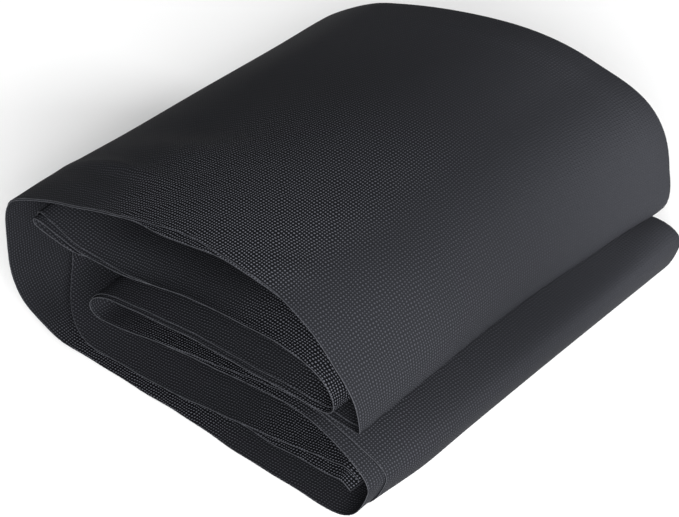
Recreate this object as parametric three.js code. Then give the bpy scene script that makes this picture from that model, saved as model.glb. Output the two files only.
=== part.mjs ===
// Folded insect netting: one cut length of fine black netting, laid back and forth into a soft bundle.
// The bundle is open at its front and far ends, where the edges of the layers show, and it rests on its
// lowest layer. X runs across the folds, Y along them and Z up, in millimetres, with the origin on the
// surface that the bundle lies on, under its middle.
import * as THREE from "three";

// Driving sizes
const LAYER_THICKNESS = 2;
const FAR_EDGE = 114;

// Fineness of the curved surfaces
const STEPS_PER_CURVE = 10;
const SECTIONS = 9;

// Finish
const NET_COLOUR = 0x2a2b2f;
const NET_ROUGHNESS = 0.85;
const NET_METALNESS = 0;

// The run of the cloth, from its free end inside the lower fold to the flap tucked under the upper fold.
// A row is a point where a flat layer meets a fold: its place and its heading, in degrees from +X, at the
// front end, the lengths over which the cloth holds that heading before and after the point, the place of
// the front edge along Y, how far the cloth rises half way to the far end, and how far the point has moved
// along X and Z at the far end.
const COLUMNS = ["point", "x", "z", "heading", "before", "after", "front", "midZ", "farX", "farZ"];
const FOLD_POINTS = [
  ["inner end", 97, 15.5, 150, 0, 10, -105, -1, 0, -3],
  ["inner floor, right", 82, 18.5, 182, 8, 34, -106, -1, 0, -3],
  ["inner floor, left", -58, 8, 178, 45, 24, -104, 0, 0, -1],
  ["inner left fold", -101.5, 25, 90, 10, 9, -76, 0, 2, -3],
  ["low layer, left", -76, 43.6, 17, 14, 30, -70, 1, 0, -3.5],
  ["low layer, right", 68, 58.2, -3, 58, 22, -72, -1, 0, -6],
  ["inner layer, right", 66, 71.5, 168, 24, 40, -74, -1, 0, -6],
  ["inner layer, left", -62, 63.2, 184, 40, 12, -80, 1, 0, -4],
  ["inner fold tip", -91.3, 67.5, 90, 6, 6.5, -106, 0, 0, -4],
  ["second layer, left", -62, 68.2, 0, 16, 26, -107, 1, 0, -4],
  ["second layer, right", 64, 84, -6, 40, 34, -114, -3, 0, -4],
  ["third layer, right", 80, 53, 180, 16, 34, -110, -1, 2, -6.5],
  ["third layer, left", -48, 45.2, 196, 24, 14, -107, 1, 0, -4],
  ["fourth layer, left", -47, 32.2, 10, 14, 34, -107, 1, 0, -4],
  ["fourth layer, right", 77, 41.7, -20, 14, 20, -107, -1, 2, -6],
  ["lower fold", 109.3, 19, -97, 8, 10, -107, 0, 1.4, 7.5],
  ["bottom layer, right", 90, 1, 180, 12, 44, -107, 0, 0, 0],
  ["bottom layer, left", -74, 1, 180, 50, 22, -107, 0, 0, 0],
  ["left side", -109.9, 34, 90, 22, 16, -107, 0, 1, -4],
  ["left edge, top", -106.5, 71.5, 48, 9, 5, -107, 0, 0, -10.5],
  ["top layer, left", -68, 89, 19, 16, 46, -107, 0, 0, -3.5],
  ["top layer, right", 50, 103.6, -12, 42, 12, -107, 1, 6, 1],
  ["shoulder", 84, 86.2, -44, 13, 12, -108, 2, 7, 7],
  ["upper fold", 103.5, 57, -80, 12, 8, -108, 0, 0, 5],
  ["flap, right", 88, 46.8, 172, 12, 12, -104, -1, 2, -8],
  ["flap end", 54, 48.6, 182, 16, 0, -102, -1, 0, -7.5],
].map((values) => Object.fromEntries(COLUMNS.map((name, column) => [name, values[column]])));

/** Place of a fold point in the section at a share of the way from the front end to the far end. */
function placeOf(point, share) {
  const rise = 4 * share * (1 - share) * point.midZ;
  return new THREE.Vector2(point.x + share * point.farX, point.z + share * point.farZ + rise);
}

/** Unit vector along which the cloth runs through a fold point. */
function headingOf(point) {
  const angle = THREE.MathUtils.degToRad(point.heading);
  return new THREE.Vector2(Math.cos(angle), Math.sin(angle));
}

/** Curve of the cloth between two neighbouring fold points, in one section. */
function clothCurve(from, to, share) {
  const start = placeOf(from, share);
  const end = placeOf(to, share);
  const startHold = start.clone().addScaledVector(headingOf(from), from.after);
  const endHold = end.clone().addScaledVector(headingOf(to), -to.before);
  return new THREE.CubicBezierCurve(start, startHold, endHold, end);
}

/** Points along the middle of the cloth in one section, with the cloth's normal and its front edge. */
function sectionPoints(share) {
  const points = [];
  for (let row = 0; row + 1 < FOLD_POINTS.length; row++) {
    const from = FOLD_POINTS[row];
    const to = FOLD_POINTS[row + 1];
    const curve = clothCurve(from, to, share);
    const firstStep = row === 0 ? 0 : 1;
    for (let step = firstStep; step <= STEPS_PER_CURVE; step++) {
      const along = step / STEPS_PER_CURVE;
      const tangent = curve.getTangent(along);
      points.push({
        middle: curve.getPoint(along),
        normal: new THREE.Vector2(-tangent.y, tangent.x),
        front: THREE.MathUtils.lerp(from.front, to.front, THREE.MathUtils.smoothstep(along, 0, 1)),
      });
    }
  }
  return points;
}

/** Closed sheet that follows the sections from the front end to the far end. */
function sheetGeometry() {
  const positions = [];
  const triangles = [];
  const pointCount = sectionPoints(0).length;
  const halfThickness = LAYER_THICKNESS / 2;

  for (let section = 0; section < SECTIONS; section++) {
    const share = section / (SECTIONS - 1);
    for (const { middle, normal, front } of sectionPoints(share)) {
      const y = THREE.MathUtils.lerp(front, FAR_EDGE, share);
      for (const side of [halfThickness, -halfThickness]) {
        positions.push(middle.x + side * normal.x, y, middle.y + side * normal.y);
      }
    }
  }

  const outer = (point, section) => 2 * (section * pointCount + point);
  const inner = (point, section) => outer(point, section) + 1;
  const addQuad = (a, b, c, d) => triangles.push(a, b, c, a, c, d);
  const lastPoint = pointCount - 1;
  const lastSection = SECTIONS - 1;

  for (let point = 0; point < lastPoint; point++) {
    const next = point + 1;
    for (let section = 0; section < lastSection; section++) {
      const on = section + 1;
      addQuad(outer(point, section), outer(next, section), outer(next, on), outer(point, on));
      addQuad(inner(point, section), inner(point, on), inner(next, on), inner(next, section));
    }
    addQuad(outer(point, 0), inner(point, 0), inner(next, 0), outer(next, 0));
    addQuad(
      outer(point, lastSection),
      outer(next, lastSection),
      inner(next, lastSection),
      inner(point, lastSection),
    );
  }
  for (let section = 0; section < lastSection; section++) {
    const on = section + 1;
    addQuad(outer(0, section), outer(0, on), inner(0, on), inner(0, section));
    addQuad(
      outer(lastPoint, section),
      inner(lastPoint, section),
      inner(lastPoint, on),
      outer(lastPoint, on),
    );
  }

  const geometry = new THREE.BufferGeometry();
  geometry.setAttribute("position", new THREE.Float32BufferAttribute(positions, 3));
  geometry.setIndex(triangles);
  geometry.computeVertexNormals();
  return geometry;
}

const netMaterial = new THREE.MeshStandardMaterial({
  color: NET_COLOUR,
  roughness: NET_ROUGHNESS,
  metalness: NET_METALNESS,
});

const netting = new THREE.Mesh(sheetGeometry(), netMaterial);
netting.name = "netting";

const bundle = new THREE.Group();
bundle.add(netting);

export default bundle;
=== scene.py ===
import math

import bpy
import numpy as np
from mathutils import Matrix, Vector, noise


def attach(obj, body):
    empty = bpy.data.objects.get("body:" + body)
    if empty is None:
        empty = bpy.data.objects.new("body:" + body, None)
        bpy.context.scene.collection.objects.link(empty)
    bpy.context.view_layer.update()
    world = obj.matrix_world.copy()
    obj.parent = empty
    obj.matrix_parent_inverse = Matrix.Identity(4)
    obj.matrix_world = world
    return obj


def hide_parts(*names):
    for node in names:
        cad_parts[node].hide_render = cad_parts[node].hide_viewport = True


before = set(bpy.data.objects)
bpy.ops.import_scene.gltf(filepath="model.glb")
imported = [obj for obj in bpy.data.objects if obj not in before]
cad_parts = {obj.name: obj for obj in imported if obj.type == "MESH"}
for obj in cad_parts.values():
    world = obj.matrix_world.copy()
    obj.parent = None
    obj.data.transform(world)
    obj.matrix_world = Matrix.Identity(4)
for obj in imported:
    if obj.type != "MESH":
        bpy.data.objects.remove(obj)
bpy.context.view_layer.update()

# Table and light
# The bundle lies on a plain pale table in soft studio light. The main lamp stands low in front on the
# right, so it reaches into the open end and lights the rounded folds more than the top. A weaker one at
# the far right lights the far ends of those folds.
VIEW_AZIMUTH = math.radians(40.5)
VIEW_ELEVATION = math.radians(37.5)
VIEW_DISTANCE = 1.25
VIEW_TARGET = Vector((0.013, -0.016, 0.045))
PICTURE_WIDTH = 679
FOCAL_LENGTH_IN_PIXELS = 2743
SENSOR_WIDTH = 36.0
LIT_POINT = (0, 0, 0.05)
FRONT_LAMP_PLACE = (1.22, -1.48, 0.78)
FRONT_LAMP_SIZE = 1.4
FRONT_LAMP_POWER = 104
SIDE_LAMP_PLACE = (1.6, 0.9, 0.5)
SIDE_LAMP_SIZE = 0.9
SIDE_LAMP_POWER = 36
GLOW_COLOUR = (1, 1, 1, 1)
GLOW_STRENGTH = 0.4
TABLE_SIZE = 8.0
TABLE_COLOUR = (0.97, 0.97, 0.97, 1)
TABLE_ROUGHNESS = 0.9
TABLE_SPECULAR = 0.1


def aim(thing, place, target):
    """Put a camera or lamp in its place and turn it to its target."""
    thing.location = place
    thing.rotation_euler = (Vector(target) - Vector(place)).to_track_quat("-Z", "Y").to_euler()


def soft_lamp(name, place, size, power):
    """Square soft lamp turned to the bundle, like a diffuser panel in a studio."""
    lamp = bpy.data.lights.new(name, "AREA")
    lamp.shape = "SQUARE"
    lamp.size = size
    lamp.energy = power
    stand = bpy.data.objects.new(name, lamp)
    bpy.context.collection.objects.link(stand)
    aim(stand, place, LIT_POINT)


view_direction = Vector(
    (
        math.sin(VIEW_AZIMUTH) * math.cos(VIEW_ELEVATION),
        -math.cos(VIEW_AZIMUTH) * math.cos(VIEW_ELEVATION),
        math.sin(VIEW_ELEVATION),
    )
)
lens = bpy.data.cameras.new("view")
lens.sensor_width = SENSOR_WIDTH
lens.lens = FOCAL_LENGTH_IN_PIXELS / PICTURE_WIDTH * SENSOR_WIDTH
camera = bpy.data.objects.new("view", lens)
bpy.context.collection.objects.link(camera)
aim(camera, VIEW_TARGET + VIEW_DISTANCE * view_direction, VIEW_TARGET)
bpy.context.scene.camera = camera
bpy.context.scene.view_settings.view_transform = "Standard"

soft_lamp("front_lamp", FRONT_LAMP_PLACE, FRONT_LAMP_SIZE, FRONT_LAMP_POWER)
soft_lamp("side_lamp", SIDE_LAMP_PLACE, SIDE_LAMP_SIZE, SIDE_LAMP_POWER)

glow = bpy.data.worlds.new("glow")
glow.use_nodes = True
sky = glow.node_tree.nodes["Background"]
sky.inputs["Color"].default_value = GLOW_COLOUR
sky.inputs["Strength"].default_value = GLOW_STRENGTH
bpy.context.scene.world = glow

table_finish = bpy.data.materials.new("pale_table")
table_finish.use_nodes = True
table_shader = table_finish.node_tree.nodes["Principled BSDF"]
table_shader.inputs["Base Color"].default_value = TABLE_COLOUR
table_shader.inputs["Roughness"].default_value = TABLE_ROUGHNESS
table_shader.inputs["Specular IOR Level"].default_value = TABLE_SPECULAR
table_mesh = bpy.data.meshes.new("table")
half_table = TABLE_SIZE / 2
table_mesh.from_pydata(
    [
        (-half_table, -half_table, 0),
        (half_table, -half_table, 0),
        (half_table, half_table, 0),
        (-half_table, half_table, 0),
    ],
    [],
    [(0, 1, 2, 3)],
)
table_mesh.materials.append(table_finish)
table = bpy.data.objects.new("table", table_mesh)
bpy.context.collection.objects.link(table)

# Netting
# One cut length of fine knitted polyester net, doubled along its length so that both its long edges lie
# at the front and its fold lies at the far end. It is laid back and forth into a soft bundle, which lies
# loose on its lowest layer.
MM = 0.001
FAR_EDGE = 114
CLOTH_THICKNESS = 0.3

# The run of the cloth in millimetres, from its end inside the lower fold to the flap under the upper
# fold. Each row is a point where a flat layer meets a fold: its place and heading, in degrees from +X, at
# the front, how long the cloth holds that heading before and after it, where the front edge lies along Y,
# how far the cloth rises half way to the far end, and how far the point has moved at the far end.
FOLD_COLUMNS = ("x", "z", "heading", "before", "after", "front", "mid_z", "far_x", "far_z")
FOLD_POINTS = {
    "inner end": (97, 15.5, 150, 0, 10, -105, -1, 0, -3),
    "inner floor, right": (82, 18.5, 182, 8, 34, -106, -1, 0, -3),
    "inner floor, left": (-58, 8, 178, 45, 24, -104, 0, 0, -1),
    "inner left fold": (-101.5, 25, 90, 10, 9, -76, 0, 2, -3),
    "low layer, left": (-76, 43.6, 17, 14, 30, -70, 1, 0, -3.5),
    "low layer, right": (68, 58.2, -3, 58, 22, -72, -1, 0, -6),
    "inner layer, right": (66, 71.5, 168, 24, 40, -74, -1, 0, -6),
    "inner layer, left": (-62, 63.2, 184, 40, 12, -80, 1, 0, -4),
    "inner fold tip": (-91.3, 67.5, 90, 6, 6.5, -106, 0, 0, -4),
    "second layer, left": (-62, 68.2, 0, 16, 26, -107, 1, 0, -4),
    "second layer, right": (64, 84, -6, 40, 34, -114, -3, 0, -4),
    "third layer, right": (80, 53, 180, 16, 34, -110, -1, 2, -6.5),
    "third layer, left": (-48, 45.2, 196, 24, 14, -107, 1, 0, -4),
    "fourth layer, left": (-47, 32.2, 10, 14, 34, -107, 1, 0, -4),
    "fourth layer, right": (77, 41.7, -20, 14, 20, -107, -1, 2, -6),
    "lower fold": (109.3, 19, -97, 8, 10, -107, 0, 1.4, 7.5),
    "bottom layer, right": (90, 1, 180, 12, 44, -107, 0, 0, 0),
    "bottom layer, left": (-74, 1, 180, 50, 22, -107, 0, 0, 0),
    "left side": (-109.9, 34, 90, 22, 16, -107, 0, 1, -4),
    "left edge, top": (-106.5, 71.5, 48, 9, 5, -107, 0, 0, -10.5),
    "top layer, left": (-68, 89, 19, 16, 46, -107, 0, 0, -3.5),
    "top layer, right": (50, 103.6, -12, 42, 12, -107, 1, 6, 1),
    "shoulder": (84, 86.2, -44, 13, 12, -108, 2, 7, 7),
    "upper fold": (103.5, 57, -80, 12, 8, -108, 0, 0, 5),
    "flap, right": (88, 46.8, 172, 12, 12, -104, -1, 2, -8),
    "flap end": (54, 48.6, 182, 16, 0, -102, -1, 0, -7.5),
}
FOLD_NAMES = list(FOLD_POINTS)

# How the two plies lie at a fold point, or at a share of the way on from it: how far the front edges of
# the outer and the inner ply lie behind the line given above, and how far apart the plies are at the front
# and far ends.
PLY_COLUMNS = ("point", "share", "outer_back", "inner_back", "front_gap", "far_gap")
PLY_PLACES = (
    ("inner end", 0, 0, 2, 7.0, 1.4),
    ("inner floor, right", 0, 0, 2, 6.0, 1.4),
    ("inner floor, right", 0.2, 0, 1, 3.5, 1.2),
    ("inner floor, right", 0.5, 2, 0, 0.8, 1.2),
    ("inner floor, left", 0, 2, 0, 0.8, 1.2),
    ("inner left fold", 0, 3, 0, 0.8, 1.4),
    ("low layer, left", 0, 2, 0, 0.7, 1.2),
    ("low layer, right", 0, 1, 2, 0.7, 1.2),
    ("low layer, right", 0.5, 0, 2, 1.2, 1.4),
    ("inner layer, right", 0, 1, 1, 0.7, 1.2),
    ("inner layer, right", 0.7, 1, 1, 0.7, 1.2),
    ("inner layer, left", 0, -18, -20, 0.7, 1.2),
    ("inner fold tip", 0, 3, -1, 1.4, 1.4),
    ("second layer, left", 0, 2, 0, 0.7, 1.2),
    ("second layer, right", 0, -1, 4, 0.7, 1.2),
    ("second layer, right", 0.5, 0, 5, 1.6, 1.6),
    ("third layer, right", 0, 1, 4, 0.7, 1.2),
    ("third layer, left", 0, 0, 2, 0.7, 1.2),
    ("fourth layer, left", 0, 0, 2, 0.7, 1.2),
    ("fourth layer, right", 0, 6, 0, 0.7, 1.4),
    ("lower fold", 0, 10, -1, 0.7, 1.8),
    ("bottom layer, right", 0, 8, -3, 0.7, 1.2),
    ("bottom layer, left", 0, 6, 2, 0.7, 1.2),
    ("left side", 0, 6, 0, 0.7, 1.6),
    ("left edge, top", 0, 0.5, 0, 0.5, 2.0),
    ("top layer, left", 0.3, 0.5, 0, 0.5, 2.6),
    ("top layer, left", 0.58, 2, -3, 0.8, 2.6),
    ("top layer, left", 0.82, 0, -1, 0.5, 2.6),
    ("top layer, right", 0, 0, -0.5, 0.5, 2.6),
    ("shoulder", 0, -1.5, 3, 0.7, 2.0),
    ("upper fold", 0, -0.5, 3, 0.7, 1.8),
    ("flap, right", 0, 0, 3, 0.7, 1.2),
    ("flap end", 0, 0, 3, 0.7, 1.2),
)

# Fineness of the cloth's mesh: rows along the run, and columns across each ply and round the fold at the
# far end. The columns crowd towards the front edge, and in part towards both ends.
ROW_STEP = 4.2
FEWEST_ROWS = 10
TRIAL_POINTS = 40
PLY_COLUMN_COUNT = 52
FOLD_COLUMN_COUNT = 5
FRONT_CROWDING = 1.5
END_CROWDING_SHARE = 0.3


def smooth_step(share):
    return share * share * (3 - 2 * share)


def held_curve(share, first, first_hold, last_hold, last):
    """One coordinate of the cloth between two fold points, with the places that hold its heading."""
    return (
        (1 - share) ** 3 * first
        + 3 * share * (1 - share) ** 2 * first_hold
        + 3 * share**2 * (1 - share) * last_hold
        + share**3 * last
    )


def cloth_run():
    """Rows along the run at the front end, with each value of the fold points carried between them."""
    rows = {name: [] for name in ("place", "x", "z", "front", "mid_z", "far_x", "far_z")}
    points = [dict(zip(FOLD_COLUMNS, values)) for values in FOLD_POINTS.values()]
    for number, (start, end) in enumerate(zip(points, points[1:])):
        start_angle = math.radians(start["heading"])
        end_angle = math.radians(end["heading"])
        x_holds = (
            start["x"],
            start["x"] + start["after"] * math.cos(start_angle),
            end["x"] - end["before"] * math.cos(end_angle),
            end["x"],
        )
        z_holds = (
            start["z"],
            start["z"] + start["after"] * math.sin(start_angle),
            end["z"] - end["before"] * math.sin(end_angle),
            end["z"],
        )
        trial = np.linspace(0, 1, TRIAL_POINTS)
        trial_x = held_curve(trial, *x_holds)
        trial_z = held_curve(trial, *z_holds)
        length = np.hypot(np.diff(trial_x), np.diff(trial_z)).sum()
        steps = max(FEWEST_ROWS, math.ceil(length / ROW_STEP))
        share = np.linspace(0, 1, steps + 1)[1 if number else 0 :]
        rows["place"].append(number + share)
        rows["x"].append(held_curve(share, *x_holds))
        rows["z"].append(held_curve(share, *z_holds))
        for name in ("front", "mid_z", "far_x", "far_z"):
            rows[name].append(start[name] + (end[name] - start[name]) * smooth_step(share))
    return {name: np.concatenate(parts) for name, parts in rows.items()}


def eased(place, name):
    """A value of the ply table at places along the run, eased from one table row to the next."""
    column = PLY_COLUMNS.index(name)
    knots = np.array([FOLD_NAMES.index(row[0]) + row[1] for row in PLY_PLACES], float)
    values = np.array([row[column] for row in PLY_PLACES], float)
    after = np.clip(np.searchsorted(knots, place, side="right"), 1, len(knots) - 1)
    share = (place - knots[after - 1]) / (knots[after] - knots[after - 1])
    return values[after - 1] + (values[after] - values[after - 1]) * smooth_step(share)


run = cloth_run()
row_count = len(run["place"])
along = np.concatenate([[0], np.cumsum(np.hypot(np.diff(run["x"]), np.diff(run["z"])))])

# The front edges wander a little, as edges do that are laid together by hand: length of a wave and its
# height.
EDGE_WAVES = ((173, 0.5), (61, 0.3), (27, 0.15))
wander = sum(height * np.sin(2 * math.pi * along / length) for length, height in EDGE_WAVES)
front = (run["front"] + wander)[:, None]
front_gap = eased(run["place"], "front_gap")[:, None]
far_gap = eased(run["place"], "far_gap")[:, None]

# Columns across the cloth: the outer ply from front to far, the fold at the far end, and the inner ply
# back to the front. The gap between the plies keeps its front value until near the far end.
GAP_POWER = 3
even = np.linspace(0, 1, PLY_COLUMN_COUNT)
to_both_ends = END_CROWDING_SHARE * smooth_step(even)
column_share = to_both_ends + (1 - END_CROWDING_SHARE) * even**FRONT_CROWDING
outer_front = front + eased(run["place"], "outer_back")[:, None]
inner_front = front + eased(run["place"], "inner_back")[:, None]
outer_y = outer_front + (FAR_EDGE - outer_front) * column_share
inner_y = inner_front + (FAR_EDGE - inner_front) * column_share
turn = np.linspace(0, math.pi, FOLD_COLUMN_COUNT + 2)[1:-1]
fold_y = FAR_EDGE + far_gap / 2 * np.sin(turn)


def ply_offset(y):
    """Distance of a ply from the middle line."""
    share = np.clip((y - front) / (FAR_EDGE - front), 0, 1)
    return (front_gap + (far_gap - front_gap) * share**GAP_POWER) / 2


cloth_y = np.concatenate([outer_y, fold_y, inner_y[:, ::-1]], axis=1)
offset = np.concatenate(
    [ply_offset(outer_y), far_gap / 2 * np.cos(turn), -ply_offset(inner_y)[:, ::-1]],
    axis=1,
)
column_count = cloth_y.shape[1]

# The creases that show, each a soft ridge or trough: the fold point that it is measured from and its
# distance on from there, its place along Y, its turn from the run in degrees, half its length and width,
# and its height to the left of the run, which is outwards on the outer layers.
CREASE_COLUMNS = ("point", "on", "y", "turn", "half_length", "half_width", "height")
CREASES = (
    ("top layer, left", 30, -110, 0, 80, 20, -2.4),
    ("top layer, left", 20, -52, 4, 34, 15, 1.5),
    ("top layer, left", 16, -27, 8, 32, 14, -1.5),
    ("top layer, right", 0, -94, 40, 13, 7, 0.9),
    ("top layer, right", 10, 24, 80, 50, 26, 1.8),
    ("top layer, right", 0, -42, 60, 24, 14, 0.8),
    ("shoulder", 6, -52, 0, 34, 24, 2.0),
    ("shoulder", 14, 10, 10, 30, 34, -1.4),
    ("lower fold", -14, -70, 0, 24, 22, 1.6),
    ("lower fold", 7, -102, 0, 14, 22, -2.2),
    ("left side", -30, -112, 0, 20, 20, -4.2),
    ("fourth layer, right", 25, 114, 0, 14, 26, 2.8),
    ("upper fold", 11, 116, 0, 7, 20, 2.2),
    ("upper fold", 6, 0, 0, 14, 95, -4.0),
    ("top layer, left", 60, 119, 0, 120, 9, -0.9),
    ("shoulder", 20, 119, 0, 50, 9, -0.9),
    ("top layer, right", -20, 101, 2, 75, 4.5, 0.9),
    ("top layer, left", 0, -74, -5, 30, 5, 2.6),
    ("top layer, left", -4, -91, -7, 20, 5, 0.7),
    ("inner layer, left", 8, -104, 0, 17, 26, 8.5),
    ("second layer, left", 22, -108, 0, 42, 12, -4.5),
    ("second layer, left", 95, -112, 0, 55, 12, -2.5),
    ("third layer, right", 60, -84, 0, 70, 16, -3.0),
    ("inner floor, right", 90, -78, 0, 90, 18, -2.5),
)


def crease_height(y):
    """Height of all the creases together, to the left of the run."""
    height = np.zeros_like(y)
    for crease in CREASES:
        given = dict(zip(CREASE_COLUMNS, crease))
        start = np.searchsorted(run["place"], FOLD_NAMES.index(given["point"]))
        beside = along[:, None] - along[start] - given["on"]
        behind = y - given["y"]
        angle = math.radians(given["turn"])
        lengthwise = (beside * math.cos(angle) + behind * math.sin(angle)) / given["half_length"]
        crosswise = (behind * math.cos(angle) - beside * math.sin(angle)) / given["half_width"]
        height += given["height"] * np.exp(-(lengthwise**2) - crosswise**2)
    return height


def half_way_rise(share):
    """Curve that is 0 at both ends and 1 half way."""
    return 4 * share * (1 - share)


to_far = (cloth_y - front) / (FAR_EDGE - front)
middle_x = run["x"][:, None] + to_far * run["far_x"][:, None]
middle_z = run["z"][:, None] + to_far * run["far_z"][:, None]
middle_z = middle_z + half_way_rise(to_far) * run["mid_z"][:, None]
run_x = np.gradient(middle_x, axis=0)
run_z = np.gradient(middle_z, axis=0)
run_length = np.hypot(run_x, run_z)
lift = offset + crease_height(cloth_y)
cloth_x = middle_x - lift * run_z / run_length
cloth_z = middle_z + lift * run_x / run_length

# The bundle's own unevenness moves neighbouring layers together, and fades out towards the table.
SWELL_SIZE = (70, 85, 60)
SWELL_RISE = 1.2
SWELL_SHIFT = 1.0
RISE_SEED = 3.7
SHIFT_SEED = 11.2
SETTLED_BELOW = 2
LOOSENING_HEIGHT = 16


def swell(x, y, z, seed):
    """Smooth unevenness from -1 to 1, about as large as a hand's width."""
    return noise.noise(Vector((x / SWELL_SIZE[0] + seed, y / SWELL_SIZE[1], z / SWELL_SIZE[2])))


swell_field = np.vectorize(swell)
loose = smooth_step(np.clip((cloth_z - SETTLED_BELOW) / LOOSENING_HEIGHT, 0, 1))
rise = SWELL_RISE * loose * swell_field(cloth_x, cloth_y, cloth_z, RISE_SEED)
shift = SWELL_SHIFT * loose * swell_field(cloth_x, cloth_y, cloth_z, SHIFT_SEED)
cloth_x = cloth_x + shift
cloth_z = cloth_z + rise

# Cloth mesh, with a map that lays the net on it: along the run in tiles of whole meshes, counted from the
# middle of the top layer, and across each ply from its fold at the far end, at 0, to its front edge, a
# little before 1.
TOP_MIDDLE_SHARE = 0.6
MESH_SIZE = 1.5
TILE_MESHES = 168
PLY_MESHES = 158
NET_MAP = "OFBake"

corners = np.stack([cloth_x, cloth_y, cloth_z], axis=-1) * MM
across_steps = np.linalg.norm(np.diff(corners, axis=1), axis=-1) / MM
across = np.concatenate([np.zeros((row_count, 1)), np.cumsum(across_steps, axis=1)], axis=1)
across = across - across[:, [column_count // 2]]
index = np.arange(row_count * column_count).reshape(row_count, column_count)
squares = np.stack([index[:-1, :-1], index[:-1, 1:], index[1:, 1:], index[1:, :-1]], axis=-1)
faces = squares.reshape(-1, 4)

cloth_mesh = bpy.data.meshes.new("netting_cloth")
cloth_mesh.from_pydata(corners.reshape(-1, 3).tolist(), [], faces.tolist())
top_middle = np.interp(FOLD_NAMES.index("top layer, left") + TOP_MIDDLE_SHARE, run["place"], along)
tile_along = np.repeat((along - top_middle) / (MESH_SIZE * TILE_MESHES), column_count)
from_fold = np.abs(across).reshape(-1) / (MESH_SIZE * PLY_MESHES)
net_map = cloth_mesh.uv_layers.new(name=NET_MAP)
corner_points = faces.reshape(-1)
net_places = np.stack([tile_along[corner_points], from_fold[corner_points]], axis=-1)
net_map.uv.foreach_set("vector", net_places.astype(np.float32).ravel())
cloth_mesh.shade_smooth()

# Finish of the net: its knots and gaps where it shows, and the even colour where it doesn't, which is
# painted lighter towards the far end: a painted sheen for the light that the far end catches.
KNOT_COLOUR = (0.0980, 0.1010, 0.1170, 1)
GAP_COLOUR = (0.0046, 0.0048, 0.0056, 1)
FAR_SHEEN_COLOUR = (0.0222, 0.0229, 0.0265, 1)
CLOSED_COLOUR = (0.0146, 0.0152, 0.0177, 1)
NET_ROUGHNESS = 0.6
NET_SPECULAR = 0.015
YARN_HEIGHT = 0.25
RELIEF_STRENGTH = 0.8

# Waves of the net over one tile, counted along the run and across the ply: its meshes, how they drift from
# straight lines, with the height of each drift, and the patches in which they show more or less. The quiet
# patches are painted shade: they are laid on the layers in shade inside the bundle, where the knots fade
# into the darker even colour.
RUN_MESHES = (TILE_MESHES, 0)
PLY_WALES = (0, PLY_MESHES)
COURSE_DRIFTS = ((1, 2, 1.6), (9, -7, 0.7), (26, -19, 0.9))
WALE_DRIFTS = ((2, -1, 1.6), (8, 10, 0.7), (21, 25, 0.9))
WALE_SHARE = 1.15
KNOT_RANGE = (0.2, 1.8)
SHADE_PATCHES = (1, 0)
SHADE_PATCH_RANGE = (-0.1, 0.75)
QUIET_SHARE = 0.3
CLOSED_FROM_FOLD = 0.2
OPEN_FROM_FOLD = 0.95
CLOSED_CONTRAST = 0.12
# Where the painted far sheen gives way to the even colour, across the ply from its fold.
FAR_SHEEN_RANGE = (0.05, 0.5)


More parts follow.
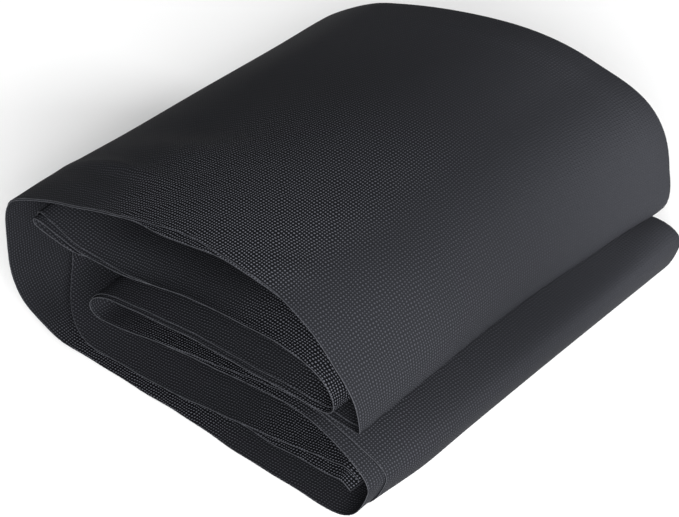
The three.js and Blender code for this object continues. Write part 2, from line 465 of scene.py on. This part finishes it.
def net_finish(name):
    """Black net whose knots stand out near the front edges and fade towards the far end, with a painted
    sheen at the far end and painted shade in its quiet patches.
    """
    finish = bpy.data.materials.new(name)
    finish.use_nodes = True
    nodes = finish.node_tree.nodes
    links = finish.node_tree.links
    shader = nodes["Principled BSDF"]
    shader.inputs["Roughness"].default_value = NET_ROUGHNESS
    shader.inputs["Specular IOR Level"].default_value = NET_SPECULAR
    places = nodes.new("ShaderNodeUVMap")
    places.uv_map = NET_MAP

    def scaled_sum(value, scale, added):
        """Value times scale, plus what is added, which is a number or another node's value."""
        result = nodes.new("ShaderNodeMath")
        result.operation = "MULTIPLY_ADD"
        links.new(value, result.inputs[0])
        result.inputs[1].default_value = scale
        if isinstance(added, (int, float)):
            result.inputs[2].default_value = added
        else:
            links.new(added, result.inputs[2])
        return result.outputs[0]

    def phase(counts):
        """Angle that goes round a whole number of times over the tile."""
        turned = nodes.new("ShaderNodeVectorMath")
        turned.operation = "DOT_PRODUCT"
        turned.inputs[1].default_value = [2 * math.pi * count for count in counts] + [0]
        links.new(places.outputs["UV"], turned.inputs[0])
        return turned.outputs["Value"]

    def wave(angle):
        """Wave from -1 to 1 of an angle."""
        result = nodes.new("ShaderNodeMath")
        result.operation = "COSINE"
        links.new(angle, result.inputs[0])
        return result.outputs[0]

    def eased_range(value, lowest, highest, first, last):
        """Value brought smoothly from one range to another."""
        result = nodes.new("ShaderNodeMapRange")
        result.interpolation_type = "SMOOTHSTEP"
        result.inputs["From Min"].default_value = lowest
        result.inputs["From Max"].default_value = highest
        result.inputs["To Min"].default_value = first
        result.inputs["To Max"].default_value = last
        links.new(value, result.inputs["Value"])
        return result.outputs["Result"]

    def mixed(first, last, share):
        """Colour between two others, each a fixed colour or another node's."""
        result = nodes.new("ShaderNodeMix")
        result.data_type = "RGBA"
        for socket, colour in (("A", first), ("B", last)):
            if isinstance(colour, tuple):
                result.inputs[socket].default_value = colour
            else:
                links.new(colour, result.inputs[socket])
        links.new(share, result.inputs["Factor"])
        return result.outputs["Result"]

    def drifting_wave(counts, drifts):
        """Wave of the meshes in one direction, with each drift's own wave added to its phase."""
        angle = phase(counts)
        for *drift_counts, height in drifts:
            angle = scaled_sum(wave(phase(drift_counts)), height, angle)
        return wave(angle)

    courses = drifting_wave(RUN_MESHES, COURSE_DRIFTS)
    wales = drifting_wave(PLY_WALES, WALE_DRIFTS)
    knots = eased_range(scaled_sum(wales, WALE_SHARE, courses), *KNOT_RANGE, 0, 1)

    place_parts = nodes.new("ShaderNodeSeparateXYZ")
    links.new(places.outputs["UV"], place_parts.inputs[0])
    to_front = place_parts.outputs["Y"]
    open_share = eased_range(to_front, CLOSED_FROM_FOLD, OPEN_FROM_FOLD, CLOSED_CONTRAST, 1)
    # Painted shade: where these patches are quiet, the knots fade into the darker even colour.
    shade_patches = eased_range(wave(phase(SHADE_PATCHES)), *SHADE_PATCH_RANGE, QUIET_SHARE, 1)
    contrast = nodes.new("ShaderNodeMath")
    contrast.operation = "MULTIPLY"
    links.new(open_share, contrast.inputs[0])
    links.new(shade_patches, contrast.inputs[1])
    # The even colour is painted lighter near the fold at the far end: a painted sheen.
    closed_and_far_sheen = mixed(FAR_SHEEN_COLOUR, CLOSED_COLOUR, eased_range(to_front, *FAR_SHEEN_RANGE, 0, 1))
    gap = mixed(closed_and_far_sheen, GAP_COLOUR, contrast.outputs[0])
    knot = mixed(closed_and_far_sheen, KNOT_COLOUR, contrast.outputs[0])
    links.new(mixed(gap, knot, knots), shader.inputs["Base Color"])

    relief = nodes.new("ShaderNodeBump")
    relief.inputs["Strength"].default_value = RELIEF_STRENGTH
    relief.inputs["Distance"].default_value = YARN_HEIGHT * MM
    links.new(knots, relief.inputs["Height"])
    links.new(relief.outputs["Normal"], shader.inputs["Normal"])
    return finish


cloth_mesh.materials.append(net_finish("black_net"))
cloth = bpy.data.objects.new("netting_cloth", cloth_mesh)
bpy.context.collection.objects.link(cloth)
thickness = cloth.modifiers.new("thickness", "SOLIDIFY")
thickness.thickness = CLOTH_THICKNESS * MM
thickness.offset = 0
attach(cloth, "root")
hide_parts("netting")

# Selvage
# The net's two long edges and its cut ends, where the outermost yarns are drawn together into a firm
# bead. It is knitted with the net, so it follows the edge of each ply all the way round.
SELVAGE_RADIUS = 0.2
SELVAGE_SIDES = 6
SELVAGE_COLOUR = (0.060, 0.062, 0.071, 1)
SELVAGE_ROUGHNESS = 0.5
SELVAGE_SPECULAR = 0.1
STITCHES_PER_METRE = 900

edge_loop = np.concatenate([index[:, 0], index[-1, 1:-1], index[::-1, -1], index[0, -2:0:-1]])
edge_points = corners.reshape(-1, 3)[edge_loop]
edge_count = len(edge_points)
edge_mesh = bpy.data.meshes.new("selvage_path")
edge_mesh.from_pydata(
    edge_points.tolist(),
    [(point, (point + 1) % edge_count) for point in range(edge_count)],
    [],
)


def selvage_finish():
    """Drawn-together black yarn, a little smoother than the net."""
    finish = bpy.data.materials.new("selvage_yarn")
    finish.use_nodes = True
    nodes = finish.node_tree.nodes
    links = finish.node_tree.links
    shader = nodes["Principled BSDF"]
    shader.inputs["Roughness"].default_value = SELVAGE_ROUGHNESS
    shader.inputs["Specular IOR Level"].default_value = SELVAGE_SPECULAR
    places = nodes.new("ShaderNodeTexCoord")
    stitches = nodes.new("ShaderNodeTexNoise")
    stitches.inputs["Scale"].default_value = STITCHES_PER_METRE
    links.new(places.outputs["Object"], stitches.inputs["Vector"])
    colour = nodes.new("ShaderNodeMix")
    colour.data_type = "RGBA"
    colour.inputs["A"].default_value = GAP_COLOUR
    colour.inputs["B"].default_value = SELVAGE_COLOUR
    links.new(stitches.outputs["Fac"], colour.inputs["Factor"])
    links.new(colour.outputs["Result"], shader.inputs["Base Color"])
    return finish


def selvage_tree(finish):
    """Geometry nodes that draw a round yarn along the edge's path."""
    tree = bpy.data.node_groups.new("selvage_bead", "GeometryNodeTree")
    tree.interface.new_socket("Geometry", in_out="INPUT", socket_type="NodeSocketGeometry")
    tree.interface.new_socket("Yarn Radius", in_out="INPUT", socket_type="NodeSocketFloat")
    tree.interface.new_socket("Yarn Sides", in_out="INPUT", socket_type="NodeSocketInt")
    tree.interface.new_socket("Geometry", in_out="OUTPUT", socket_type="NodeSocketGeometry")
    nodes = tree.nodes
    links = tree.links
    given = nodes.new("NodeGroupInput")
    path = nodes.new("GeometryNodeMeshToCurve")
    section = nodes.new("GeometryNodeCurvePrimitiveCircle")
    yarn = nodes.new("GeometryNodeCurveToMesh")
    round_yarn = nodes.new("GeometryNodeSetShadeSmooth")
    realized = nodes.new("GeometryNodeRealizeInstances")
    dressed = nodes.new("GeometryNodeSetMaterial")
    made = nodes.new("NodeGroupOutput")
    dressed.inputs["Material"].default_value = finish
    links.new(given.outputs["Geometry"], path.inputs["Mesh"])
    links.new(given.outputs["Yarn Radius"], section.inputs["Radius"])
    links.new(given.outputs["Yarn Sides"], section.inputs["Resolution"])
    links.new(path.outputs["Curve"], yarn.inputs["Curve"])
    links.new(section.outputs["Curve"], yarn.inputs["Profile Curve"])
    links.new(yarn.outputs["Mesh"], round_yarn.inputs["Geometry"])
    links.new(round_yarn.outputs["Geometry"], realized.inputs["Geometry"])
    links.new(realized.outputs["Geometry"], dressed.inputs["Geometry"])
    links.new(dressed.outputs["Geometry"], made.inputs["Geometry"])
    return tree


def made_by_nodes(name, path_mesh, tree, sizes):
    """Plain mesh object that a geometry node tree makes from a path, with its sizes given by name."""
    maker = bpy.data.objects.new(name + "_maker", path_mesh)
    bpy.context.collection.objects.link(maker)
    modifier = maker.modifiers.new("nodes", "NODES")
    modifier.node_group = tree
    for socket in tree.interface.items_tree:
        if socket.in_out == "INPUT" and socket.name in sizes:
            modifier[socket.identifier] = sizes[socket.name]
    evaluated = maker.evaluated_get(bpy.context.evaluated_depsgraph_get())
    mesh = bpy.data.meshes.new_from_object(evaluated)
    mesh.name = name
    maker.modifiers.remove(modifier)
    bpy.data.objects.remove(maker)
    piece = bpy.data.objects.new(name, mesh)
    bpy.context.collection.objects.link(piece)
    return piece


selvage = made_by_nodes(
    "netting_selvage",
    edge_mesh,
    selvage_tree(selvage_finish()),
    {"Yarn Radius": SELVAGE_RADIUS * MM, "Yarn Sides": SELVAGE_SIDES},
)
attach(selvage, "root")
